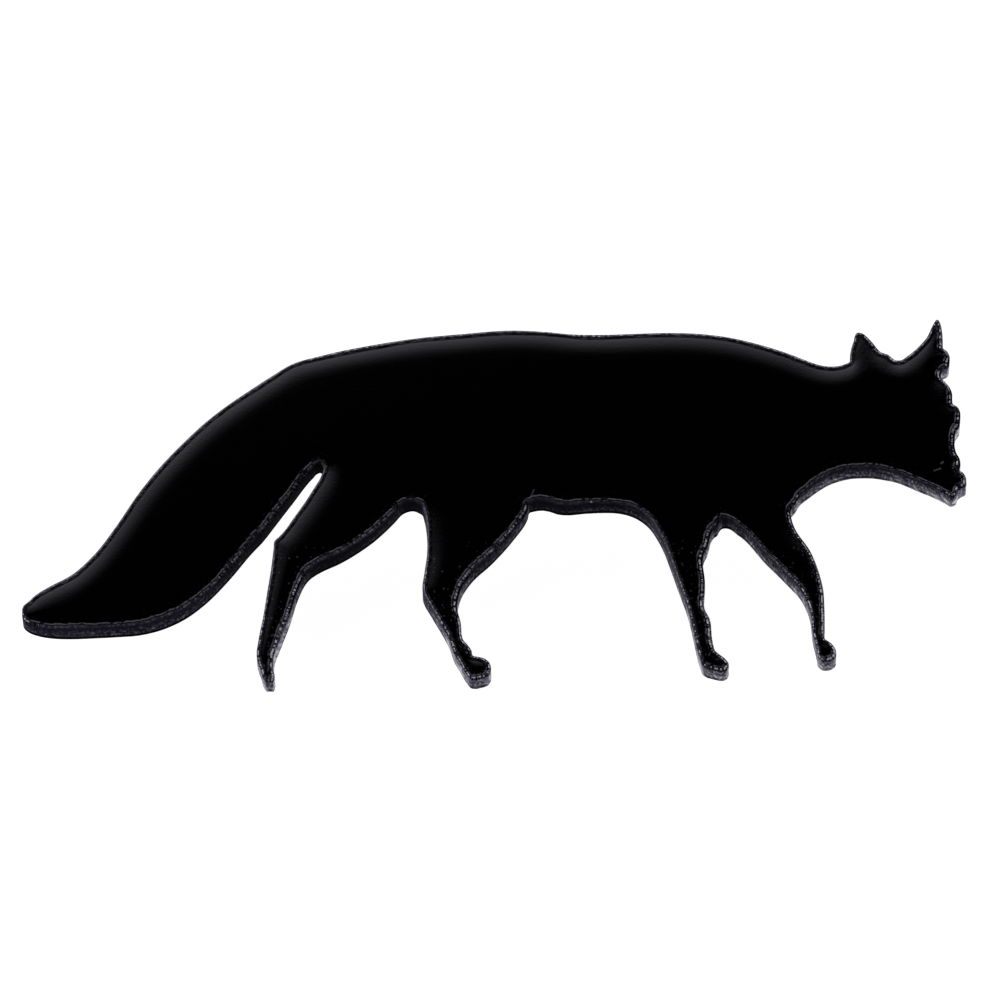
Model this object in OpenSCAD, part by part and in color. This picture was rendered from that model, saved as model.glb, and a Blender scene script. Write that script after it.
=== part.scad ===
// Walking fox brooch: one sheet of black acrylic cut to the outline of a fox, with a bar pin on its back.
// Millimetres. The fox walks along +X with its paws towards -Y, and it lies face up, along +Z, on its pin.

/* [Trunk and head] */
// Length of the trunk, from the root of the tail to the chest
body_length = 42; // [38:0.5:52]
// Height of the back above the belly line
back_height = 16.4; // [14:0.1:20]
// Reach of the head in front of the chest
head_reach = 16.3; // [13:0.1:20]
// Height of the crown above the belly line
crown_height = 13; // [11:0.1:16]
// Rise of the ear tips above the crown
ear_rise = 4; // [3:0.1:6]

/* [Tail] */
// Reach of the tail behind its root
tail_reach = 26.7; // [21:0.1:33]
// Drop of the tail's underside below the belly line
tail_fall = 11.2; // [9:0.1:14]
// Greatest upright depth of the tail
tail_depth = 16.1; // [13:0.1:19]
// Level width of the slot between the tail and the hind leg
slot_width = 2; // [1.2:0.1:2.6]

/* [Legs] */
// Depth of the paws below the belly line
leg_drop = 16.4; // [13:0.1:20]
// Width of the near hind thigh at the belly
thigh_width = 9.3; // [7:0.1:11]
// Width of a shank below the knee
shank_width = 2; // [1.5:0.1:2.6]
// Swing of a foot in front of its hip
stride = 10; // [7.5:0.1:12.5]

/* [Sheet] */
// Thickness of the acrylic sheet
plate_thickness = 3; // [2:0.1:5]
// Longest straight stretch in a curve of the outline
edge_step = 0.7; // [0.4:0.1:1.5]

/* [Pin back] */
// Height of the whole pin back behind the sheet
pin_height = 6; // [5:0.1:9]
// Length of the bar over its round ends
bar_length = 30; // [22:0.5:32]
// Width of the bar
bar_width = 5; // [4:0.1:7]
// Thickness of the bar
bar_thickness = 0.8; // [0.5:0.1:1.5]
// Thickness of each hinge ear
hinge_wall = 0.8; // [0.5:0.1:1.2]
// Distance of the hinge and the catch from the bar's ends
end_inset = 3; // [3:0.1:5]
// Diameter of the rivet through the ears
rivet_d = 1; // [0.6:0.1:1.4]
// Diameter of the pin wire
wire_d = 0.8; // [0.5:0.1:1.2]
// Length of the wire's ground point
point_length = 3; // [2:0.1:5]
// Length of the catch along the bar
catch_length = 3.5; // [2:0.1:5]
// Width of the catch across the bar
catch_width = 4.4; // [3.6:0.1:6]
// Thickness of the strip that the catch is bent from
catch_wall = 0.8; // [0.5:0.1:1]
// Outer bend radius of the catch
catch_bend = 1.2; // [1:0.1:1.6]
// Clear space between the wire and the catch
wire_clearance = 0.3; // [0.1:0.1:0.6]
// Thickness of the glue between the bar and the sheet
glue_gap = 0.1; // [0.05:0.05:0.3]

/* [Hidden] */

// Columns of an edge table: shares along and up, and last 1 where the edge turns sharply
ALONG = 0;
UP = 1;
// Columns of a leg table: shares of the drop, the swing and the width, and last 1 for a sharp front edge
DROP = 0;
SWING = 1;
WIDE = 2;
// Columns of a tail table: shares along the tail, of its fall, and of its depth or of the slot
UNDER = 1;
DEEP = 2;
GAP = 2;

// Upper side of the tail and its underside, as sections from the rump to the tip
TAIL = [
    [0.229, 0.303, 0.897],
    [0.304, 0.520, 0.962],
    [0.379, 0.708, 0.994],
    [0.456, 0.848, 0.970],
    [0.531, 0.931, 0.895],
    [0.606, 0.975, 0.768],
    [0.681, 0.988, 0.589],
    [0.756, 0.995, 0.428],
    [0.831, 1.000, 0.316],
    [0.906, 0.991, 0.242],
    [0.953, 0.968, 0.178],
    [0.980, 0.940, 0.117],
    [0.995, 0.908, 0.072],
];
TAIL_TIP = [1.000, 0.862, 0];

// Slot beside the tail, from the corner of the hind leg up to its round end
SLOT = [
    [0.223, 0.287, 0.991, 1],
    [0.193, 0.211, 1.000, 0],
    [0.155, 0.093, 0.960, 0],
    [0.117, -0.028, 0.925, 0],
    [0.080, -0.145, 0.843, 0],
    [0.042, -0.268, 0.720, 0],
    [0.019, -0.330, 0.500, 0],
];
SLOT_END = [-0.005, -0.372, 0];

// Back, from the rump to the nape, along the trunk and up to the height of the back
BACK = [
    [-0.100, 0.751, 0],
    [-0.050, 0.827, 0],
    [0.000, 0.863, 0],
    [0.048, 0.892, 0],
    [0.119, 0.926, 0],
    [0.214, 0.962, 0],
    [0.310, 0.983, 0],
    [0.417, 1.000, 0],
    [0.488, 0.990, 0],
    [0.548, 0.973, 0],
    [0.619, 0.968, 0],
    [0.690, 0.972, 0],
    [0.762, 0.974, 0],
    [0.821, 0.966, 0],
    [0.881, 0.945, 0],
    [0.952, 0.898, 0],
    [1.007, 0.850, 0],
    [1.048, 0.806, 0],
];

// Head, from the nape over both ears, down the face and back along the throat to the chest.
// Heights run from 0 at the belly line over 1 at the crown to 2 at the ear tips.
HEAD = [
    [0.196, 0.982, 0],
    [0.270, 0.968, 0],
    [0.337, 0.982, 0],
    [0.367, 1.004, 1],
    [0.376, 1.270, 0],
    [0.394, 1.506, 0],
    [0.414, 1.690, 0],
    [0.435, 1.682, 0],
    [0.466, 1.588, 0],
    [0.503, 1.412, 0],
    [0.540, 1.228, 0],
    [0.583, 1.155, 0],
    [0.620, 1.031, 0],
    [0.650, 1.024, 0],
    [0.684, 1.108, 0],
    [0.719, 1.216, 0],
    [0.762, 1.384, 0],
    [0.799, 1.565, 0],
    [0.825, 1.785, 0],
    [0.845, 1.935, 0],
    [0.857, 2.000, 1],
    [0.868, 1.930, 0],
    [0.880, 1.741, 0],
    [0.884, 1.506, 0],
    [0.885, 1.306, 1],
    [0.906, 1.224, 0],
    [0.920, 1.106, 0],
    [0.919, 0.996, 0],
    [0.910, 0.960, 0],
    [0.883, 0.939, 0],
    [0.870, 0.910, 0],
    [0.871, 0.877, 0],
    [0.893, 0.845, 0],
    [0.917, 0.805, 0],
    [0.930, 0.758, 0],
    [0.930, 0.715, 0],
    [0.933, 0.687, 1],
    [0.957, 0.664, 0],
    [0.972, 0.625, 0],
    [0.971, 0.570, 0],
    [0.966, 0.531, 0],
    [0.946, 0.491, 0],
    [0.939, 0.433, 0],
    [0.939, 0.368, 0],
    [0.948, 0.325, 0],
    [0.963, 0.289, 0],
    [0.968, 0.246, 0],
    [0.960, 0.206, 1],
    [0.982, 0.184, 0],
    [0.995, 0.155, 0],
    [1.000, 0.119, 0],
    [0.995, 0.098, 0],
    [0.969, 0.079, 0],
    [0.951, 0.061, 0],
    [0.942, 0.029, 1],
    [0.916, 0.016, 1],
    [0.859, 0.056, 0],
    [0.798, 0.095, 0],
    [0.736, 0.128, 0],
    [0.675, 0.165, 0],
    [0.613, 0.196, 0],
    [0.552, 0.214, 0],
    [0.491, 0.227, 0],
    [0.429, 0.230, 0],
    [0.368, 0.227, 0],
    [0.307, 0.211, 0],
    [0.247, 0.185, 0],
    [0.188, 0.142, 0],
    [0.129, 0.088, 0],
    [0.078, 0.035, 0],
    [0.052, -0.018, 0],
    [0.029, -0.054, 0],
    [0.028, -0.116, 0],
];

// Far fore leg, the one nearest the head
FAR_FORE_HIP = 0.962;
FAR_FORE_THIGH = [
    [0.149, -0.006, 0.507, 0],
    [0.299, 0.173, 0.439, 0],
    [0.425, 0.307, 0.310, 0],
    [0.523, 0.390, 0.203, 0],
];
FAR_FORE_SHANK = [
    [0.609, 0.423, 0.678, 0],
    [0.793, 0.443, 0.459, 1],
    [0.819, 0.474, 0.662, 0],
    [0.862, 0.504, 0.825, 0],
    [0.897, 0.508, 0.757, 0],
    [0.916, 0.503, 0.400, 0],
];

// Near fore leg
NEAR_FORE_HIP = 0.785;
NEAR_FORE_THIGH = [
    [0.149, 0.000, 0.560, 0],
    [0.259, 0.006, 0.392, 0],
    [0.287, 0.002, 0.350, 0],
    [0.466, 0.051, 0.247, 0],
];
NEAR_FORE_SHANK = [
    [0.626, 0.093, 0.724, 0],
    [0.667, 0.117, 0.816, 0],
    [0.799, 0.152, 0.735, 0],
    [0.856, 0.173, 0.762, 0],
    [0.902, 0.227, 1.083, 0],
    [0.937, 0.255, 1.134, 0],
    [0.958, 0.285, 0.700, 0],
];

// Near hind leg
NEAR_HIND_HIP = 0.337;
NEAR_HIND_THIGH = [
    [0.029, -0.003, 1.000, 0],
    [0.155, -0.059, 0.823, 0],
    [0.287, -0.156, 0.618, 0],
    [0.391, -0.259, 0.450, 0],
    [0.489, -0.318, 0.360, 0],
];
NEAR_HIND_SHANK = [
    [0.586, -0.295, 1.142, 0],
    [0.678, -0.237, 0.877, 0],
    [0.770, -0.191, 0.587, 0],
    [0.839, -0.134, 0.788, 0],
    [0.853, -0.128, 0.755, 1],
    [0.865, -0.118, 0.750, 1],
    [0.902, -0.031, 1.275, 0],
    [0.936, -0.006, 1.237, 0],
    [0.974, 0.003, 0.927, 0],
    [0.992, -0.020, 0.460, 0],
];

// Far hind leg, below the hock: its thigh is the haunch above the slot
FAR_HIND_HIP = -0.065;
FAR_HIND_SHANK = [
    [0.381, -0.005, 1.585, 0],
    [0.483, -0.060, 1.315, 0],
    [0.621, -0.114, 1.145, 0],
    [0.759, -0.180, 0.935, 0],
    [0.851, -0.216, 0.750, 0],
    [0.931, -0.200, 0.536, 0],
    [1.000, -0.175, 0.262, 0],
];

// Edges between neighbouring legs, from the one nearer the head to the next, up as a share of the leg's drop
FORE_ARCH = [
    [0.126, -0.135, 0],
    [0.268, -0.116, 0],
    [0.413, -0.102, 0],
    [0.576, -0.096, 0],
    [0.732, -0.101, 0],
    [0.833, -0.119, 0],
    [0.907, -0.140, 0],
];
BELLY = [
    [0.042, -0.102, 0],
    [0.122, -0.049, 0],
    [0.203, -0.019, 0],
    [0.290, -0.003, 0],
    [0.419, 0.002, 0],
    [0.548, -0.001, 0],
    [0.704, -0.008, 0],
    [0.764, -0.003, 0],
    [0.807, 0.008, 0],
    [0.867, 0.019, 0],
    [0.945, 0.016, 0],
    [0.985, 0.007, 1],
];
HIND_ARCH = [
    [0.014, 0.000, 0],
    [0.048, 0.016, 0],
    [0.092, 0.026, 0],
    [0.138, 0.022, 0],
    [0.194, 0.003, 0],
    [0.242, -0.032, 0],
    [0.334, -0.093, 0],
    [0.428, -0.148, 0],
    [0.521, -0.193, 0],
    [0.708, -0.268, 0],
    [0.896, -0.326, 0],
    [0.933, -0.341, 0],
    [0.970, -0.359, 0],
];

// Pin bar's middle on the sheet, close to the brooch's centre of mass, so that it lies level on its pin
PIN_ALONG = 0.414;
PIN_UP = 0.242;

// Ends of the outline, for centring the brooch
NOSE_X = body_length + head_reach;
EAR_Y = crown_height + ear_rise;
MIDDLE = [(NOSE_X - tail_reach) / 2, (EAR_Y - leg_drop) / 2];

function reversed(rows) = [for (i = [len(rows) - 1:-1:0]) rows[i]];
function sharp(row) = row[len(row) - 1];

// Points of an edge table between two x values, with heights as shares of rise
function edge(rows, start, end, rise) =
    [for (r = rows) [start + r[ALONG] * (end - start), r[UP] * rise, sharp(r)]];

// Points of the head table: heights stretch with the crown up to 1 and with the ears above it
function head_edge(rows) = [for (r = rows) [
    body_length + r[ALONG] * head_reach,
    min(r[UP], 1) * crown_height + max(r[UP] - 1, 0) * ear_rise,
    sharp(r)]];

// Points down one side of a leg, side 1 for its front and -1 for its rear
function leg_side(rows, hip, width, side) = [for (r = rows) [
    hip * body_length + r[SWING] * stride + side * r[WIDE] * width / 2,
    -r[DROP] * leg_drop,
    side > 0 ? sharp(r) : 0]];

// A whole leg: down the front, round the paw and up the rear
function leg(hip, thigh, shank) = concat(
    leg_side(thigh, hip, thigh_width, 1),
    leg_side(shank, hip, shank_width, 1),
    reversed(leg_side(shank, hip, shank_width, -1)),
    reversed(leg_side(thigh, hip, thigh_width, -1)));

// Points of the tail's underside, and of its upper side
function tail_under(rows) = [for (r = rows) [-r[ALONG] * tail_reach, -r[UNDER] * tail_fall, 0]];
function tail_top(rows) = [for (r = rows)
    [-r[ALONG] * tail_reach, r[DEEP] * tail_depth - r[UNDER] * tail_fall, 0]];

// Points of the hind leg's side of the slot
function slot_side(rows) = [for (r = rows)
    [r[GAP] * slot_width - r[ALONG] * tail_reach, -r[UNDER] * tail_fall, sharp(r)]];

FAR_FORE = leg(FAR_FORE_HIP, FAR_FORE_THIGH, FAR_FORE_SHANK);
NEAR_FORE = leg(NEAR_FORE_HIP, NEAR_FORE_THIGH, NEAR_FORE_SHANK);
NEAR_HIND = leg(NEAR_HIND_HIP, NEAR_HIND_THIGH, NEAR_HIND_SHANK);
FAR_HIND = leg(FAR_HIND_HIP, [], FAR_HIND_SHANK);

// The last x of one leg and the first x of the next bound the edge between them
function between(rows, leg_a, leg_b) = edge(rows, leg_a[len(leg_a) - 1].x, leg_b[0].x, leg_drop);

// The fox's outline, clockwise from the tip of its tail
OUTLINE = concat(
    tail_under([TAIL_TIP]),
    reversed(tail_top(TAIL)),
    edge(BACK, 0, body_length, back_height),
    head_edge(HEAD),
    FAR_FORE,
    between(FORE_ARCH, FAR_FORE, NEAR_FORE),
    NEAR_FORE,
    between(BELLY, NEAR_FORE, NEAR_HIND),
    NEAR_HIND,
    between(HIND_ARCH, NEAR_HIND, FAR_HIND),
    FAR_HIND,
    slot_side(SLOT),
    tail_under([SLOT_END]),
    reversed(tail_under(SLOT)),
    tail_under(TAIL));

function unit(v) = v / norm(v);
function flat(p) = [p.x, p.y];

// Direction of a smooth edge at b: both chords, with the shorter one counting more
function heading(a, b, c) = unit(unit(b - a) * norm(c - b) + unit(c - b) * norm(b - a));

// Cubic curve from a to b that leaves along one direction and arrives along another
function bend(a, leaving, arriving, b, t) =
    let (reach = norm(b - a) / 3)
    a * pow(1 - t, 3)
    + (a + leaving * reach) * 3 * t * pow(1 - t, 2)
    + (b - arriving * reach) * 3 * t * t * (1 - t)
    + b * pow(t, 3);

// Closed path with a smooth curve between its points, apart from the sharp ones
function smoothed(path) = let (n = len(path)) [for (i = [0:n - 1])
    let (
        before = flat(path[(i + n - 1) % n]),
        a = flat(path[i]),
        b = flat(path[(i + 1) % n]),
        after = flat(path[(i + 2) % n]),
        leaving = path[i].z == 1 ? unit(b - a) : heading(before, a, b),
        arriving = path[(i + 1) % n].z == 1 ? unit(b - a) : heading(a, b, after),
        steps = ceil(norm(b - a) / edge_step))
    for (k = [0:steps - 1]) bend(a, leaving, arriving, b, k / steps)];

module fox_plate() {
    color([0.02, 0.02, 0.025])
        translate([-MIDDLE.x, -MIDDLE.y, pin_height + glue_gap])
            linear_extrude(plate_thickness)
                polygon(smoothed(OUTLINE));
}

// Height of the pin wire's axis over the surface that the brooch lies on
wire_z = catch_wall + wire_clearance + wire_d / 2;
bar_z = pin_height - bar_thickness;
hinge_x = end_inset - bar_length / 2;
catch_x = bar_length / 2 - end_inset - catch_length / 2;
ear_gap = bar_width - 2 * hinge_wall;
// The spring's coil fills the hinge but for the wire's clearance on both sides
coil_width = ear_gap - 2 * wire_clearance;
coil_d = rivet_d + 2 * wire_d;
// Length of the parallel part of the wire, from the rivet to the far end of the catch
wire_length = catch_x + catch_length / 2 - hinge_x;
// Depth to which ears and catch reach into the bar that they are soldered to
solder = bar_thickness / 2;
// Diameter of the wire's very tip
POINT_TIP = 0.15;

module bar() {
    span = bar_length - bar_width;
    translate([0, 0, bar_z]) linear_extrude(bar_thickness) {
        square([span, bar_width], center = true);
        for (side = [-1, 1]) translate([side * span / 2, 0]) circle(d = bar_width, $fn = 48);
    }
}

// One hinge ear: round about the rivet, with its lowest line on the surface
module hinge_ear(side) {
    translate([hinge_x, side * (bar_width - hinge_wall) / 2 + hinge_wall / 2, 0])
        rotate([90, 0, 0]) linear_extrude(hinge_wall) {
            translate([0, wire_z]) circle(r = wire_z, $fn = 48);
            translate([-wire_z, wire_z]) square([2 * wire_z, bar_z + solder - wire_z]);
        }
}

module crossways(d, length) {
    translate([hinge_x, length / 2, wire_z]) rotate([90, 0, 0]) cylinder(h = length, d = d, $fn = 48);
}

module pin_wire() {
    translate([hinge_x, 0, wire_z]) rotate([0, 90, 0]) {
        cylinder(h = wire_length, d = wire_d, $fn = 32);
        translate([0, 0, wire_length]) cylinder(h = point_length, d1 = wire_d, d2 = POINT_TIP, $fn = 32);
    }
}

module round_box(width, height, r) {
    translate([r - width / 2, 0]) square([width - 2 * r, height]);
    translate([-width / 2, r]) square([width, height - 2 * r]);
    for (x = [-1, 1], z = [r, height - r])
        translate([x * (width / 2 - r), z]) circle(r = r, $fn = 48);
}

// The catch: a strip that hangs from the bar, bends under the wire and ends in a low lip
module catch() {
    height = bar_z + solder;
    lip = 2 * wire_z;
    translate([catch_x - catch_length / 2, 0, 0]) rotate([90, 0, 90]) linear_extrude(catch_length)
        difference() {
            union() {
                round_box(catch_width, height, catch_bend);
                translate([-catch_width / 2, height / 2]) square([catch_width, height / 2]);
            }
            translate([0, catch_wall])
                round_box(catch_width - 2 * catch_wall, height + catch_bend, catch_bend - catch_wall);
            translate([-catch_width, lip]) square([catch_width, height]);
        }
}

module pin_back() {
    color([0.78, 0.78, 0.76])
        translate([PIN_ALONG * body_length - MIDDLE.x, PIN_UP * back_height - MIDDLE.y, 0]) {
            bar();
            for (side = [-1, 1]) hinge_ear(side);
            crossways(rivet_d, bar_width);
            crossways(coil_d, coil_width);
            pin_wire();
            catch();
        }
}

fox_plate();
pin_back();
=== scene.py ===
# A flat brooch, 85 mm long: a walking fox cut from one sheet of black gloss acrylic, with a bar pin glued to
# its back. It lies on its pin on a white table, lit by one broad soft light from the back left.
import math

import bpy
import numpy as np
from mathutils import Matrix, Vector
from mathutils.geometry import delaunay_2d_cdt


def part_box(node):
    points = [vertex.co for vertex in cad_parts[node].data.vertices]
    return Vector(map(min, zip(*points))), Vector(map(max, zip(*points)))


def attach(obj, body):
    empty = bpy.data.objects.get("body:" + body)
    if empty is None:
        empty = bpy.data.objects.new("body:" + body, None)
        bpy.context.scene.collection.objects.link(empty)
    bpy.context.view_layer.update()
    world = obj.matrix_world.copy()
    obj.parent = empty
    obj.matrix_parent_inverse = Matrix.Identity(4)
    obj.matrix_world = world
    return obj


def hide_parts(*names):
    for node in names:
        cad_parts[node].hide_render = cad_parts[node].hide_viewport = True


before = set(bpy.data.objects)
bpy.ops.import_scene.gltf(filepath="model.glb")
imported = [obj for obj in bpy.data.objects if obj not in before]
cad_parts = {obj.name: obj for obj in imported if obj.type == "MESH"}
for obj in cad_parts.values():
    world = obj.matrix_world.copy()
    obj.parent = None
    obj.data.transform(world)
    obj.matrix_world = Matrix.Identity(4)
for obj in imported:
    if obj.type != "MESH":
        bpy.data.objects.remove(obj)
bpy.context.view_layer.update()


# Fox plate. The real one is a single 3 mm sheet of black acrylic, cut to the outline by a laser. The beam
# leaves a scorched bevel along the front edge, a fine melted lip inside it, a face that sinks a little towards
# the edge, and a matt, streaked wall. Lengths are in mm where no other unit is named.
MM = 0.001
WELD_DIGITS = 7              # decimals of a metre to which two corners of the CAD's loose triangles are one
FRONT_BAND = 1e-6            # metres below the highest point that still count as the front
SHARP_TURN = 65              # degrees; a tip that turns more than this stays a point
CHORD_PARTS = 7              # points on each chord of the solid's outline
SWELL = (0.04, 0.02, 0.1)    # how far melt stands out beyond the cut on edges that face down, sideways and up
FACE_GRID = 0.8              # between the points of the flat middle of the face
GRID_REACH = (60, 30)        # how far their grid goes from the middle, along the fox and up it
HEAT_REACH = 3               # how far the sheet carries the cut's heat away
LEE_SIDE = (0.6, -0.8)       # the air jet blew the melt to this side, where the bevel is broader
BEVEL_WIDTH = (0.19, 0.42)   # on edges that face the jet and on those in its lee
BEVEL_DROP = (0.04, 0.1)     # how far the bevel slopes down, on the same edges
BEVEL_WANDER = ((0.1, 0.3), (0.1, 0.9), (0.2, 4))  # shares by which its width varies, and over what length
THIN_SHEET = (0.12, 0.35)    # shares of sheet left round the edge between which it grows to its full width
THIN_BEVEL = 0.75            # share of the width that it has below them
LIP_HEIGHT = (0.011, 0.032)  # on the same edges
LIP_CREST = 0.06             # in from the bevel
LIP_WIDTH = 0.045            # half width
LIP_BEADS = ((1.3, 0.22), (0.6, 0.4), (0.3, 1.3))  # shares by which its height varies, and over what length
CROWN_SLOPE = 0.12           # how steeply the face sinks at the edge
CROWN_WIDTH = 2.0            # in from the edge, where the face starts to sink
BEVEL_RINGS = (0.25, 0.5, 0.75, 1.0)  # rings of points round the front, in shares of the bevel's width
LIP_RINGS = (0.02, 0.045, 0.07, 0.095, 0.12, 0.15, 0.19, 0.25)  # more rings, in from the bevel
CROWN_RINGS = (0.34, 0.46, 0.6, 0.78, 1.0, 1.25, 1.55, 1.9)     # and coarser ones with half the points
RING_SPACING = (0.03, 0.1)   # least distance between a ring's points, on the fine and on the coarse rings
RING_CLEARANCE = 0.97        # share of its ring's distance that a point at least has from every edge
GRID_CLEARANCE = 0.1         # between the innermost ring and the grid
WALL_ROWS = (0.03, 0.1, 0.25, 0.5, 0.75, 0.9)  # rows of points down the wall, in shares of its depth
CREASE = 48                  # degrees; a sharper fold than this is shaded as an edge
BATCH = 4000                 # points measured at a time, to save memory
TINY = 1e-9                  # keeps the distance of a point on the rim above 0
WELD = 1e-7                  # within which the filling joins two points


def front_corners(node):
    """Corner points of a sheet's front outline, in order. A side of a front triangle whose reverse belongs to
    no other front triangle is on the rim and leads from its first point to its second. Doubling the jump along
    these links counts the steps from each point to the last one, and so sorts them."""
    mesh = node.data
    mesh.calc_loop_triangles()
    points = np.empty(len(mesh.vertices) * 3, np.float32)
    mesh.vertices.foreach_get("co", points)
    triangles = np.empty(len(mesh.loop_triangles) * 3, np.int32)
    mesh.loop_triangles.foreach_get("vertices", triangles)
    points, merged = np.unique(points.reshape(-1, 3).round(WELD_DIGITS), axis=0, return_inverse=True)
    triangles = merged.ravel()[triangles].reshape(-1, 3)
    front = triangles[(points[triangles, 2] > points[:, 2].max() - FRONT_BAND).all(axis=1)]
    side_from, side_to = front.ravel(), np.roll(front, -1, axis=1).ravel()
    on_rim = ~np.isin(side_from * len(points) + side_to, side_to * len(points) + side_from)
    names, side_from = np.unique(side_from[on_rim], return_inverse=True)
    side_to = np.searchsorted(names, side_to[on_rim])
    follows = np.empty_like(side_from)
    follows[side_from] = side_to
    last = side_from[0]
    steps = np.ones(len(follows), int)
    steps[last], follows[last] = 0, last
    for _ in range(math.ceil(math.log2(len(follows)))):
        steps, follows = steps + steps[follows], follows[follows]
    return points[names[np.argsort(steps)], :2] / MM


def smooth_outline(corners):
    """Closed curve through the corners, each chord in equal parts. On a chord from a to b that leaves along u
    and arrives along v the point at t is (2t^3-3t^2+1)a + (t^3-2t^2+t)u + (3t^2-2t^3)b + (t^3-t^2)v. A
    direction is the mean of both chords' directions, the shorter one counting more, but at a tip it is the
    chord's own."""
    following = np.roll(corners, -1, axis=0)
    chord = following - corners
    length = np.hypot(*chord.T)[:, None]
    ahead = chord / length
    behind, length_behind = np.roll(ahead, 1, axis=0), np.roll(length, 1, axis=0)
    side = np.sign(np.sum(np.cross(corners, following)))
    turns_out = np.cross(behind, ahead) * side > 0
    tip = turns_out & ((behind * ahead).sum(axis=1) < math.cos(math.radians(SHARP_TURN)))
    mean = (behind * length + ahead * length_behind) / (length + length_behind)
    leave = np.where(tip[:, None], ahead, mean) * length
    arrive = np.roll(np.where(tip[:, None], behind, mean), -1, axis=0) * length
    t = (np.arange(CHORD_PARTS) / CHORD_PARTS)[None, :, None]
    curve = ((2 * t**3 - 3 * t**2 + 1) * corners[:, None] + (t**3 - 2 * t**2 + t) * leave[:, None]
             + (3 * t**2 - 2 * t**3) * following[:, None] + (t**3 - t**2) * arrive[:, None])
    curve = curve.reshape(-1, 2)
    return curve if side > 0 else curve[::-1].copy()


def rim_distance(points, rim, share):
    """Distance from each point to the nearest point of the rim, and the smoothed distance
    (2/pi * sum of share / distance^4)^(-1/3). That equals the distance beside a straight edge, and between two
    edges it changes over without a crease."""
    near, smooth = np.empty(len(points)), np.empty(len(points))
    for batch in np.array_split(np.arange(len(points)), max(1, len(points) // BATCH)):
        square = ((points[batch, None, 0] - rim[None, :, 0]) ** 2
                  + (points[batch, None, 1] - rim[None, :, 1]) ** 2) + TINY
        near[batch] = np.sqrt(square.min(axis=1))
        smooth[batch] = (2 / math.pi * (share / square**2).sum(axis=1)) ** (-1 / 3)
    return near, smooth


def within(points, corners):
    """True for each point inside the outline: a line from it towards +X crosses an odd number of chords."""
    ax, ay = corners.T
    bx, by = np.roll(corners, -1, axis=0).T
    x, y = points[:, :1], points[:, 1:]
    spans = (ay > y) != (by > y)
    with np.errstate(divide="ignore", invalid="ignore"):
        crossing = ax + (y - ay) / (by - ay) * (bx - ax)
    return (spans & (x < crossing)).sum(axis=1) % 2 == 1


def thinned(points, spacing):
    """Numbers of the points to keep, in order: the first in each square with sides of this spacing."""
    return np.sort(np.unique(np.floor(points / spacing).astype(int), axis=0, return_index=True)[1])


def sheet_left(rim, middle):
    """Share of sheet that is left round each point of the rim: the sum of e^-(distance / reach)^2 over the grid
    of the middle, divided by what it is where the sheet goes on all round."""
    square = ((rim[:, None] - middle[None]) ** 2).sum(axis=2)
    return np.exp(-square / HEAT_REACH**2).sum(axis=1) * FACE_GRID**2 / (math.pi * HEAT_REACH**2)


def beads(along, whole, layers, seed):
    """Random values round the closed rim, the sum of layers with a share and a length each. A layer has a knot
    every length, with a value from -1 to 1, and between knots a and b the value at t is
    a + (b - a)(3t^2 - 2t^3)."""
    total = 0
    for layer, (share, length) in enumerate(layers):
        count = round(whole / length)
        knots = np.random.default_rng(seed + layer).uniform(-1, 1, count)
        place = along / whole * count
        knot, t = np.floor(place).astype(int) % count, place % 1
        t = t * t * (3 - 2 * t)
        total = total + share * (knots[knot] * (1 - t) + knots[(knot + 1) % count] * t)
    return total


def rim_height(inward, bevel, drop, lip):
    """Height of the front near the edge: the bevel is -drop * (1 - inward / bevel)^2, and the lip is
    lip * e^-((inward - bevel - crest) / half width)^2."""
    return (lip * np.exp(-(((inward - bevel - LIP_CREST) / LIP_WIDTH) ** 2))
            - drop * np.clip(1 - inward / bevel, 0, 1) ** 2)


def filled(points, rim_count):
    """Triangles that fill the closed rim, the first rim_count of the points, using all the points."""
    ring = np.arange(rim_count)
    sides = np.stack([ring, np.roll(ring, -1)], axis=1).tolist()
    made = delaunay_2d_cdt(points.tolist(), sides, [], 1, WELD)
    triangles, points_behind = made[2], made[3]
    return np.array(next(zip(*points_behind)))[np.array(triangles)]


def to_mesh(name, points, faces, groups, materials):
    """Mesh object from points, a list of faces and the number of each face's material."""
    mesh = bpy.data.meshes.new(name)
    mesh.from_pydata((points * MM).tolist(), [], faces)
    mesh.polygons.foreach_set("use_smooth", np.ones(len(faces), bool))
    mesh.polygons.foreach_set("material_index", groups)
    for material in materials:
        mesh.materials.append(material)
    mesh.update()
    made = bpy.data.objects.new(name, mesh)
    bpy.context.scene.collection.objects.link(made)
    return made


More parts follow.
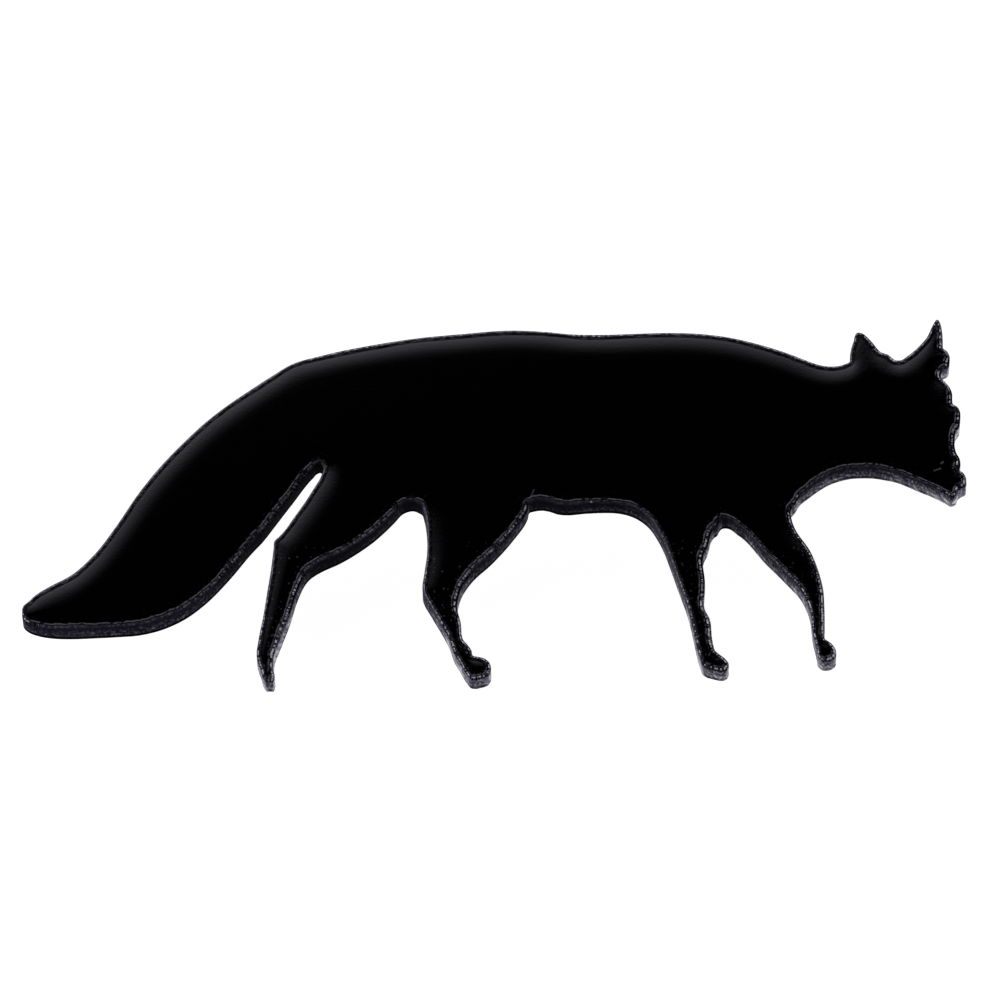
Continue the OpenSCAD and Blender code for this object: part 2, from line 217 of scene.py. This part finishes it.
class Wire:
    """A socket in a node tree. Sums and products of it add Math nodes, and node() adds any other node."""

    def __init__(self, tree, socket=None):
        self.tree, self.socket = tree, socket

    def node(self, kind, settings, sockets, out=0):
        """A node of this kind with its settings, and with a value or a wire in each of its sockets."""
        made = self.tree.nodes.new(kind)
        for name, value in settings.items():
            if name != "stops":
                setattr(made, name, value)
                continue
            stops = made.color_ramp.elements
            while len(stops) < len(value):
                stops.new(0.5)
            for stop, (place, colour) in zip(stops, value.items()):
                stop.position, stop.color = place, colour
        for name, value in sockets.items():
            if isinstance(value, Wire):
                self.tree.links.new(value.socket, made.inputs[name])
            else:
                made.inputs[name].default_value = value
        return Wire(self.tree, made.outputs[out] if len(made.outputs) else None)

    def math(self, operation, *values):
        """A Math node on these values and wires."""
        return self.node("ShaderNodeMath", {"operation": operation}, dict(enumerate(values)))

    def __add__(self, other):
        return self.math("ADD", self, other)

    def __sub__(self, other):
        return self.math("SUBTRACT", self, other)

    def __rsub__(self, other):
        return self.math("SUBTRACT", other, self)

    def __mul__(self, other):
        return self.math("MULTIPLY", self, other)

    def __truediv__(self, other):
        return self.math("DIVIDE", self, other)

    def __pow__(self, other):
        return self.math("POWER", self, other)

    __radd__, __rmul__ = __add__, __mul__

    def ramp(self, low, high, below=0.0, above=1.0):
        """One value below low, another above high, and a smooth change between them."""
        return self.node("ShaderNodeMapRange", {"interpolation_type": "SMOOTHSTEP"},
                         {"Value": self, "From Min": low, "From Max": high, "To Min": below, "To Max": above})

    def along(self, way):
        """How far a place lies in the direction way."""
        return self.node("ShaderNodeVectorMath", {"operation": "DOT_PRODUCT"}, {0: self, 1: way}, "Value")

    def part(self, axis):
        """The X, Y or Z of a place."""
        return self.node("ShaderNodeSeparateXYZ", {}, {"Vector": self}, axis)


def blank(name):
    """A new material and the wire that starts its nodes."""
    material = bpy.data.materials.new(name)
    material.use_nodes = True
    material.node_tree.nodes.clear()
    return material, Wire(material.node_tree)


def in_mm(start, scale=(1, 1, 1)):
    """Place in the frame, in mm, stretched by scale."""
    here = start.node("ShaderNodeTexCoord", {}, {}, "Object")
    return start.node("ShaderNodeMapping", {}, {"Vector": here, "Scale": [s / MM for s in scale]})


def place_at(start, x, y):
    """A place with these two coordinates."""
    return start.node("ShaderNodeCombineXYZ", {}, {"X": x, "Y": y})


def from_mesh(start, *names):
    """The values that the mesh holds under these names."""
    return [start.node("ShaderNodeAttribute", {"attribute_name": name}, {}, "Fac") for name in names]


def noise(start, place, scale, detail, rough=0.5):
    """Soft noise from 0 to 1, with about scale lumps in a unit of place."""
    return start.node("ShaderNodeTexNoise", {}, {"Vector": place, "Scale": scale, "Detail": detail,
                                                 "Roughness": rough})


def blended(start, share, first, second):
    """The first colour where share is 0 and the second where it is 1."""
    return start.node("ShaderNodeMix", {"data_type": "RGBA"}, {"Factor": share, "A": first, "B": second}, 2)


def embossed(start, height, strength, distance):
    """Normal of a surface that stands out by height times distance, in metres."""
    return start.node("ShaderNodeBump", {}, {"Height": height, "Strength": strength, "Distance": distance})


def shaded(start, sockets, soot_and_shade=None):
    """Ends the tree with a Principled shader, which dull black covers where soot_and_shade is 1: soot and
    painted shade.
    """
    shader = start.node("ShaderNodeBsdfPrincipled", {}, sockets)
    if soot_and_shade is not None:
        dark_cover = start.node("ShaderNodeBsdfPrincipled", {}, {"Base Color": SOOT_AND_SHADE_BLACK, "Roughness": 0.8, "IOR": 1.0})
        shader = start.node("ShaderNodeMixShader", {}, {0: soot_and_shade, 1: shader, 2: dark_cover})
    start.node("ShaderNodeOutputMaterial", {}, {"Surface": shader})


def marks(place, ends_and_widths):
    """1 along each straight mark between two ends, falling to 0 at its width from it."""
    total = None
    for a, b, width in ends_and_widths:
        length = math.dist(a, b)
        way_x, way_y = (b[0] - a[0]) / length, (b[1] - a[1]) / length
        on = place.along((way_x, way_y, 0)) - (way_x * a[0] + way_y * a[1])
        off = place.along((-way_y, way_x, 0)) - (way_x * a[1] - way_y * a[0])
        mark = (off.math("ABSOLUTE", off).ramp(width * 0.3, width, 1.0, 0.0) * on.ramp(-width, 0.0)
                * on.ramp(length, length + width, 1.0, 0.0))
        total = mark if total is None else total + mark
    return total


def specks(place, scale, size, least):
    """1 at scattered round specks and 0 elsewhere: scale cells in a mm, and a speck in those whose random value
    is over least."""
    cells = {"voronoi_dimensions": "2D"}
    distance = place.node("ShaderNodeTexVoronoi", cells, {"Vector": place, "Scale": scale}, "Distance")
    chance = place.node("ShaderNodeTexVoronoi", cells, {"Vector": place, "Scale": scale}, "Color").part("X")
    return distance.ramp(size * 0.3, size, 1.0, 0.0) * chance.ramp(least, 1.0)


def dashes(start, cover, scale, track):
    """1 on dashes along the edge and 0 between them, about scale in a mm. A cover of 0 gives none, 0.5 as much
    dash as gap and 1 a whole line. Another track gives other dashes."""
    run, = from_mesh(start, "run")
    return (noise(start, place_at(start, run, track), scale, 1) + cover).ramp(0.95, 1.05)


def cut_tone_colour(start, frost):
    """Colour of the cut's tone, frost with painted light and shade: scorched violet black at 0, frosty white at
    1.
    """
    return start.node("ShaderNodeValToRGB", {"stops": CUT_TONES}, {"Fac": frost})


GLOSS_BLACK = (0.0005, 0.00045, 0.0006, 1)
# A dull black for soot, and for painted shade in the groove.
SOOT_AND_SHADE_BLACK = (0.0012, 0.001, 0.0015, 1)
DUST = (0.05, 0.05, 0.055, 1)
CUT_TONES = {0.0: (0.0027, 0.002, 0.0042, 1), 0.25: (0.0119, 0.01, 0.019, 1),
               0.5: (0.0495, 0.0475, 0.064, 1), 0.75: (0.2, 0.196, 0.236, 1), 1.0: (0.81, 0.81, 0.84, 1)}
CUT_TONE_RANGE = (0.003, 270)  # darkest tone of the cut, and how many times paler the palest one is
ACRYLIC_IOR = 1.49
WALL_IOR = 1.014            # the matt wall hardly shines
SCRATCHES = (((3.24, 0.32), (3.59, 1.07), 0.09), ((40.26, 3.05), (40.42, 3.17), 0.13),
             ((39.6, 2.37), (40.19, 2.55), 0.1))  # both ends and the width
# Two painted glints on the bevel at the belly: both ends and the width of each.
PAINTED_GLINTS = (((8.7, -0.13), (8.8, -0.13), 0.14), ((11.75, -0.08), (11.85, -0.08), 0.16))
LEG_SPECKS, FINE_SPECKS = (1.3, 0.17, 0.5), (4.5, 0.4, 0.5)  # scale, size and least, on the legs
EDGE_SPECKS = (2.6, 0.3, 0.6)                                # and along the edge
GROOVE_DASHES, SCORCH_DASHES = (3.5, 0.0), (5.0, 0.0)        # scale and track
BEAD_DASHES, LIGHT_DASHES = (5.5, 7.0), (4.0, 3.0)
LEG_TOPS, LEG_SIDE = (-5.5, -3.0), (-26, -22)  # the legs lie below the first pair and right of the second
FINE_RELIEF, WALL_RELIEF = 0.0001, 0.00003     # metres

# The gloss face: dust, most on the legs and along the edge, three scratches, a soft ripple where the face
# sinks, melt beside the bevel, and dashes that creep over from the groove between bevel and lip: soot and
# painted shade.
face_finish, start = blank("black_gloss_acrylic")
place = in_mm(start)
inward, groove = from_mesh(start, "inward", "groove")
haze = noise(start, place, 0.35, 3)
melted = inward.ramp(0.1, 0.3, 1.0, 0.0)
legs = place.part("Y").ramp(*LEG_TOPS, 1.0, 0.0) * place.part("X").ramp(*LEG_SIDE)
crown = inward.ramp(0.15, 0.4) * inward.ramp(0.9, 1.8, 1.0, 0.0) * groove * (1 - legs * 0.6)
dust = (specks(place, *LEG_SPECKS) * legs * 0.7 + specks(place, *FINE_SPECKS) * legs * 0.06
        + specks(place, *EDGE_SPECKS) * inward.ramp(0.5, 1.1, 0.35, 0.0) * (legs + 0.7))
film = start.math("MINIMUM", dust + marks(place, SCRATCHES), 1.0)
relief = (noise(start, place, 4, 2) * 0.03 + noise(start, place, 7, 2) * melted * 0.5
          + noise(start, in_mm(start, (1, 0.6, 1)), 9, 1) * crown * 0.12)
shaded(start, {"Base Color": blended(start, film, GLOSS_BLACK, DUST), "IOR": ACRYLIC_IOR,
               "Roughness": haze * 0.03 + 0.03 + melted * 0.06 + film * 0.3,
               "Normal": embossed(start, relief, 0.5, FINE_RELIEF)},
       dashes(start, groove, *GROOVE_DASHES) * inward.ramp(0.04, 0.09, 0.95, 0.0))

# The bevel: frosted grain in the cut's tone, which holds painted light and shade, a line of pale beads along
# its inner half and a light line along its outer half on dark edges, both painted highlights, two painted
# glints at the belly, and dashes of soot, which in the groove are also painted shade.
bevel_finish, start = blank("scorched_bevel")
place = in_mm(start)
frost, across, scorch, groove = from_mesh(start, "frost", "across", "scorch", "groove")
grain = noise(start, place, 5, 3, 0.8)
lumps = noise(start, place, 2.5, 2)
pale = frost.ramp(0.3, 0.6)
inner_half = across.ramp(0.4, 0.55) * across.ramp(0.85, 1.0, 1.0, 0.0)
outer_half = across.ramp(0.0, 0.25) * across.ramp(0.6, 0.85, 1.0, 0.0)
# The pale beads, brightest on edges that face down, and the light line on the other edges are painted
# highlights.
beaded = dashes(start, 0.5, *BEAD_DASHES)
painted_rim_highlight = outer_half * (dashes(start, 0.55, *LIGHT_DASHES) * 0.5 + scorch.ramp(0.2, 0.45) * 0.3)
painted_highlights = (inner_half * beaded * 0.32 - 0.05) * (pale + (1 - groove) * 0.7) + painted_rim_highlight * (1 - pale) * groove
tone = frost + painted_highlights + marks(place, PAINTED_GLINTS) * 0.6 + (grain - 0.5) * 1.2 + (lumps - 0.5) * 0.12
# Dashes of soot, and in the groove dashes of soot and painted shade.
soot_and_shade = (dashes(start, scorch, *SCORCH_DASHES) * across.ramp(0.4, 0.5, 0.95, 0.0)
        + inner_half * (1 - beaded) * scorch.ramp(0.2, 0.45, 0.0, 0.85)
        + dashes(start, groove, *GROOVE_DASHES) * across.ramp(0.8, 0.9, 0.0, 0.95))
shaded(start, {"Base Color": cut_tone_colour(start, tone), "IOR": ACRYLIC_IOR, "Roughness": grain * 0.3 + 0.2,
               "Normal": embossed(start, grain, 0.7, FINE_RELIEF)}, soot_and_shade)

# The wall: streaks that lean back as the beam lags behind, drag lines along the edge, grain and blotches. Near
# the back edge runs a light band, and below it a dark foot.
wall_finish, start = blank("laser_cut_wall")
(far_left, lowest, underside), (far_right, highest, top) = (
    [side / MM for side in corner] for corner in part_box("fox_plate"))
# The wall's tone comes from the rim: its own frost with painted light and shade over it.
frost, run = from_mesh(start, "frost", "run")
depth = (top - in_mm(start).part("Z")) / (top - underside)
swept = place_at(start, run - depth * depth * 0.9, depth * 0.4)
streaks = noise(start, swept, 4.0, 3, 0.6)
drag = noise(start, place_at(start, run * 0.3, depth * 4.5), 1.6, 1)
grain = noise(start, in_mm(start, (1, 1, 0.35)), 4.5, 1, 0.6)
blotches = noise(start, swept, 0.9, 2)
pale = frost.ramp(0.45, 0.85)
foot = depth + (drag - 0.5) * 0.05
foot_light = foot.ramp(0.54, 0.64) * foot.ramp(0.7, 0.75, 1.0, 0.0)
foot_dark = foot.ramp(0.73, 0.78) * (1.0 - pale * 0.6)
tone = (frost - 0.02 + foot_light * 0.06 + (streaks - 0.5) * (pale * depth * 1.6 + 0.15)
        + (blotches - 0.5) * (pale * depth * 1.2 + 0.12) - depth.ramp(0.04, 0.14, 0.12, 0.0) * (1 - pale)
        + (drag - 0.5) * blotches.ramp(0.4, 0.6) * (0.4 - pale * 0.4) + (grain - 0.5) * (1.3 - pale * 0.9))
shaded(start, {"Base Color": blended(start, foot_dark, cut_tone_colour(start, tone), GLOSS_BLACK), "IOR": WALL_IOR,
               "Roughness": 0.35 + grain * 0.25,
               "Normal": embossed(start, streaks * 0.7 + grain * 0.3, 0.4, WALL_RELIEF)})

# The rim is the solid's own outline, smoothed and swollen by the melt. For each of its points, share is the
# length of rim that belongs to it, along its place on the run, and inner the direction into the sheet.
corners = front_corners(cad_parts["fox_plate"])
cut = smooth_outline(corners)
tangent = np.roll(cut, -1, axis=0) - np.roll(cut, 1, axis=0)
share = np.hypot(*tangent.T) / 2
along = np.cumsum(share)
whole = along[-1]
inner = np.stack([-tangent[:, 1], tangent[:, 0]], axis=1) / np.hypot(*tangent.T)[:, None]
swell = np.interp(-inner[:, 1], (-1, 0, 1), SWELL)[:, None]
rim = np.clip(cut - inner * swell, (far_left, lowest), (far_right, highest))
rim_count = len(rim)

middle = np.stack(np.meshgrid(*(np.arange(-reach, reach, FACE_GRID) for reach in GRID_REACH)), axis=-1)
middle = middle.reshape(-1, 2)
middle = middle[within(middle, corners)]
bulk = sheet_left(rim, middle)

lee = (0.5 - 0.5 * inner @ LEE_SIDE) ** 1.5
bevel = (np.interp(lee, (0, 1), BEVEL_WIDTH) * np.interp(bulk, THIN_SHEET, (THIN_BEVEL, 1))
         * (1 + beads(along, whole, BEVEL_WANDER, len(LIP_BEADS))))
drop = np.interp(lee, (0, 1), BEVEL_DROP)
lip = np.interp(lee, (0, 1), LIP_HEIGHT) * np.clip(1 + beads(along, whole, LIP_BEADS, 0), 0, None)

# The front: rings of points that follow the rim inwards, then the grid of the middle. The face sinks by
# slope * width / 2 * (1 - distance / width)^2, and its highest point is at the top of the solid.
rings = [(part, 0) for part in BEVEL_RINGS] + [(1, extra) for extra in LIP_RINGS + CROWN_RINGS]
kept = [(rim, np.zeros(rim_count), np.zeros(rim_count), np.arange(rim_count), np.zeros(rim_count, int))]
for level, (part, extra) in enumerate(rings, 1):
    coarse = extra >= CROWN_RINGS[0]
    parent = np.arange(0, rim_count, 2 if coarse else 1)
    inward = bevel[parent] * part + extra
    ring = rim[parent] + inner[parent] * inward[:, None]
    near, smooth = rim_distance(ring, rim, share)
    keep = np.flatnonzero(near > RING_CLEARANCE * inward)
    keep = keep[thinned(ring[keep], RING_SPACING[int(coarse)])]
    kept.append((ring[keep], inward[keep], smooth[keep], parent[keep], np.full(len(keep), level)))
flat_points, inwards, smooths, parents, levels = map(np.concatenate, zip(*kept))
heights = rim_height(inwards, bevel[parents], drop[parents], lip[parents])
past_bevel, across_bevel = inwards - bevel[parents], inwards / bevel[parents]

near, smooth = rim_distance(middle, rim, share)
keep = near > bevel.max() + CROWN_RINGS[-1] + GRID_CLEARANCE
flat_points, smooths = np.vstack([flat_points, middle[keep]]), np.append(smooths, smooth[keep])
heights, past_bevel = np.append(heights, np.zeros(keep.sum())), np.append(past_bevel, near[keep])
levels = np.append(levels, np.full(keep.sum(), len(rings)))
heights -= CROWN_SLOPE * CROWN_WIDTH / 2 * np.clip(1 - smooths / CROWN_WIDTH, 0, 1) ** 2
front = np.column_stack([flat_points, top + heights - heights.max()])

# The wall is the rim carried straight down to the back in rows, and the back fills the rim again.
rows = np.array(WALL_ROWS)[:, None]
wall_heights = front[:rim_count, 2] + (underside - front[:rim_count, 2]) * rows
wall = np.column_stack([np.tile(rim, (len(rows), 1)), wall_heights.ravel()])
back = np.column_stack([rim, np.full(rim_count, underside)])
points = np.vstack([front, wall, back])
ring = np.arange(rim_count)
tiers = np.vstack([ring, len(front) + np.arange(len(rows) + 1)[:, None] * rim_count + ring])
upper, lower = tiers[:-1], tiers[1:]
quads = np.stack([upper, lower, np.roll(lower, -1, axis=1), np.roll(upper, -1, axis=1)], axis=-1).reshape(-1, 4)
face = filled(flat_points, rim_count)
under = filled(rim, rim_count)[:, ::-1] + tiers[-1, 0]
on_bevel = (levels[face].max(axis=1) <= len(BEVEL_RINGS)).astype(int)
fox = to_mesh("fox_sheet", points, face.tolist() + quads.tolist() + under.tolist(),
              np.concatenate([on_bevel, np.full(len(quads), 2), np.zeros(len(under), int)]),
              [face_finish, bevel_finish, wall_finish])
fox.data.set_sharp_from_angle(angle=math.radians(CREASE))

RUMP = (-22, -17)               # from the tail's root to the rump
PAWS_FROM, PAWS_HEIGHT = -6, 8  # how far down the legs' lower part starts, and over what height it fades in

# Soot lies on the bevel of edges that face right where much sheet is left, on thin places, and on the back's
# edge from the rump on. The groove, whose dark dashes are soot and painted shade, is on all edges but those
# that face down, and strongest on the right ones.
left, right = np.clip(inner[:, 0], 0, 1), np.clip(-inner[:, 0], 0, 1)
down, up = np.clip(inner[:, 1], 0, 1), np.clip(-inner[:, 1], 0, 1)
soot_right = 0.8 * right**2 * np.interp(bulk, (0.25, 0.4), (0, 1))
soot_thin = 0.5 * np.interp(bulk, (0.3, 0.42), (1, 0))
soot_back = 0.5 * up * np.interp(rim[:, 0], RUMP, (0, 1))
scorch = np.max([soot_right, soot_thin, soot_back], axis=0)
groove = (0.62 + 0.18 * right) * np.clip(1 - 1.5 * down, 0, 1)

# The cut's tone is its own matt frost with painted light and shade over it: painted shade darkens it where much
# sheet is left round the edge, and painted light makes it paler on flanks that face left or right and towards
# the nose and the paws. Bulk is the share of sheet that is left round the edge, paws is 1 at the paws, and
# reach is 1 at the nose. The wall's tone at half its depth is 0.75 / (1 + e^-paleness), and it grows
# e^(2.2 - 0.6 right^2 - 1.4 paws) times over the whole depth. Paleness is -5.3 + 1.9 left^2 + 3.2 right^2
# + (1 - paws)(2.4 reach + 0.8 reach^2) + 2.6 paws - 0.43 ln(bulk). The bevel's tone is
# e^(-4.4 + 0.7 right^2 - 0.7 up^2 - 0.7 down^2) / bulk^1.4.
reach, paws = rim[:, 0] / far_right, np.clip((PAWS_FROM - rim[:, 1]) / PAWS_HEIGHT, 0, 1)
paleness = (-5.3 + 1.9 * left**2 + 3.2 * right**2 + (1 - paws) * (2.4 * reach + 0.8 * reach**2) + 2.6 * paws
            - 0.43 * np.log(bulk))
deepening = 2.2 - 0.6 * right**2 - 1.4 * paws
depths = np.array([[0, *WALL_ROWS, 1]]).T
wall_tone = math.log(0.75) - np.log(1 + np.exp(-paleness)) + deepening * (depths - 0.5)
bevel_tone = -4.4 + 0.7 * (right**2 - up**2 - down**2) - 1.4 * np.log(bulk)
nearest = np.concatenate([parents, np.zeros(len(front) - len(parents), int), np.tile(ring, len(rows) + 1)])
frost = np.concatenate([wall_tone[0], bevel_tone[nearest[rim_count:len(front)]], wall_tone[1:].ravel()])
frost = (frost - math.log(CUT_TONE_RANGE[0])) / math.log(CUT_TONE_RANGE[1])
for name, values in {"frost": frost, "run": along[nearest], "inward": past_bevel, "across": across_bevel,
                     "scorch": scorch[parents], "groove": groove[parents]}.items():
    values = np.pad(values, (0, len(points) - len(values))).astype(np.float32)
    fox.data.attributes.new(name, "FLOAT", "POINT").data.foreach_set("value", values)
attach(fox, "root")
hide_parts("fox_plate")


# Pin. The real one is a bought brooch pin of nickel-plated steel: a stamped bar, two hinge ears, a sprung wire
# and a safety catch. It is glued to the middle of the back, where the photograph doesn't show it.
DULL_NICKEL, BRIGHT_NICKEL = (0.36, 0.35, 0.33, 1), (0.6, 0.58, 0.55, 1)
BRUSH_MARKS = 0.00003  # metres deep
pin_finish, start = blank("nickel_plate")
brushed = noise(start, in_mm(start, (0.5, 8, 8)), 2.5, 3)
shaded(start, {"Base Color": blended(start, brushed, DULL_NICKEL, BRIGHT_NICKEL), "Metallic": 1.0,
               "Roughness": 0.16 + brushed * 0.2, "Normal": embossed(start, brushed, 0.3, BRUSH_MARKS)})
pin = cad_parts["pin_back"]
pin.data.materials.clear()
pin.data.materials.append(pin_finish)


# Table. A white light table, 12 m wide, on which the brooch lies. It is evenly bright, so that no shadow shows
# round the brooch.
HALF = 6  # metres
table_corners = [(-HALF, -HALF, 0), (HALF, -HALF, 0), (HALF, HALF, 0), (-HALF, HALF, 0)]
table_mesh = bpy.data.meshes.new("light_table")
table_mesh.from_pydata(table_corners, [], [(0, 1, 2, 3)])
table = bpy.data.objects.new("light_table", table_mesh)
bpy.context.scene.collection.objects.link(table)
table_finish, start = blank("lit_white")
shaded(start, {"Base Color": (0.3, 0.3, 0.3, 1), "Roughness": 0.9, "Emission Color": (1, 1, 1, 1),
               "Emission Strength": 0.97, "Specular IOR Level": 0.0})
table_mesh.materials.append(table_finish)


# Studio. One broad soft light that fills the back left from 17 degrees off overhead down to the table,
# brightest half way down, a pale band round the horizon, and a dark ceiling, which the polished face mirrors.
LIGHT_SIDE = math.radians(108)  # from +X towards +Y
LIGHT_START = 0.289             # sine of the angle off overhead where the light begins
LIGHT_COLOUR = (1, 0.965, 1.12, 1)
sky = bpy.data.worlds.new("studio")
bpy.context.scene.world = sky
sky.use_nodes = True
sky.node_tree.nodes.clear()
start = Wire(sky.node_tree)
ray = start.node("ShaderNodeTexCoord", {}, {}, "Generated")
towards = ray.along((math.cos(LIGHT_SIDE), math.sin(LIGHT_SIDE), 0))
soft = start.math("MINIMUM", (start.math("MAXIMUM", towards - LIGHT_START, 0.0) ** 2) * 40, 1.1)
core = towards.ramp(0.47, 0.54) * towards.ramp(0.68, 0.85, 1.0, 0.0)
horizon = ray.part("Z").ramp(0.08, 0.25, 0.95, 0.0)
light = start.math("MAXIMUM", soft + towards.ramp(0.29, 0.33, 0.0, 0.05) + core, horizon)
shine = start.node("ShaderNodeBackground", {}, {"Color": LIGHT_COLOUR, "Strength": light})
start.node("ShaderNodeOutputWorld", {}, {"Surface": shine})
bpy.context.scene.view_settings.view_transform = "Standard"


# Camera. A long lens 1.5 m away, aimed at the middle of the fox, square to its length and 17.5 degrees off the
# face towards its paws.
AIM = Vector((0.525, 0.124, 9.1)) * MM
AWAY = 1.5
TILT, YAW, ROLL = (math.radians(a) for a in (17.5, 0.3, 0.66))
FOCAL_LENGTH, FILM_WIDTH = 600.4, 36
back_axis = Vector((math.sin(YAW), -math.sin(TILT) * math.cos(YAW), math.cos(TILT) * math.cos(YAW)))
sideways = (-back_axis).cross(Vector((0, 1, 0))).normalized()
above = sideways.cross(-back_axis)
right_axis = math.cos(ROLL) * sideways - math.sin(ROLL) * above
up_axis = math.sin(ROLL) * sideways + math.cos(ROLL) * above
turned = Matrix((right_axis, up_axis, back_axis)).transposed().to_4x4()
lens = bpy.data.cameras.new("camera")
lens.sensor_width = FILM_WIDTH
lens.lens = FOCAL_LENGTH
lens.clip_start, lens.clip_end = 0.05, 20
camera = bpy.data.objects.new("camera", lens)
bpy.context.scene.collection.objects.link(camera)
camera.matrix_world = Matrix.Translation(AIM + AWAY * back_axis) @ turned
bpy.context.scene.camera = camera
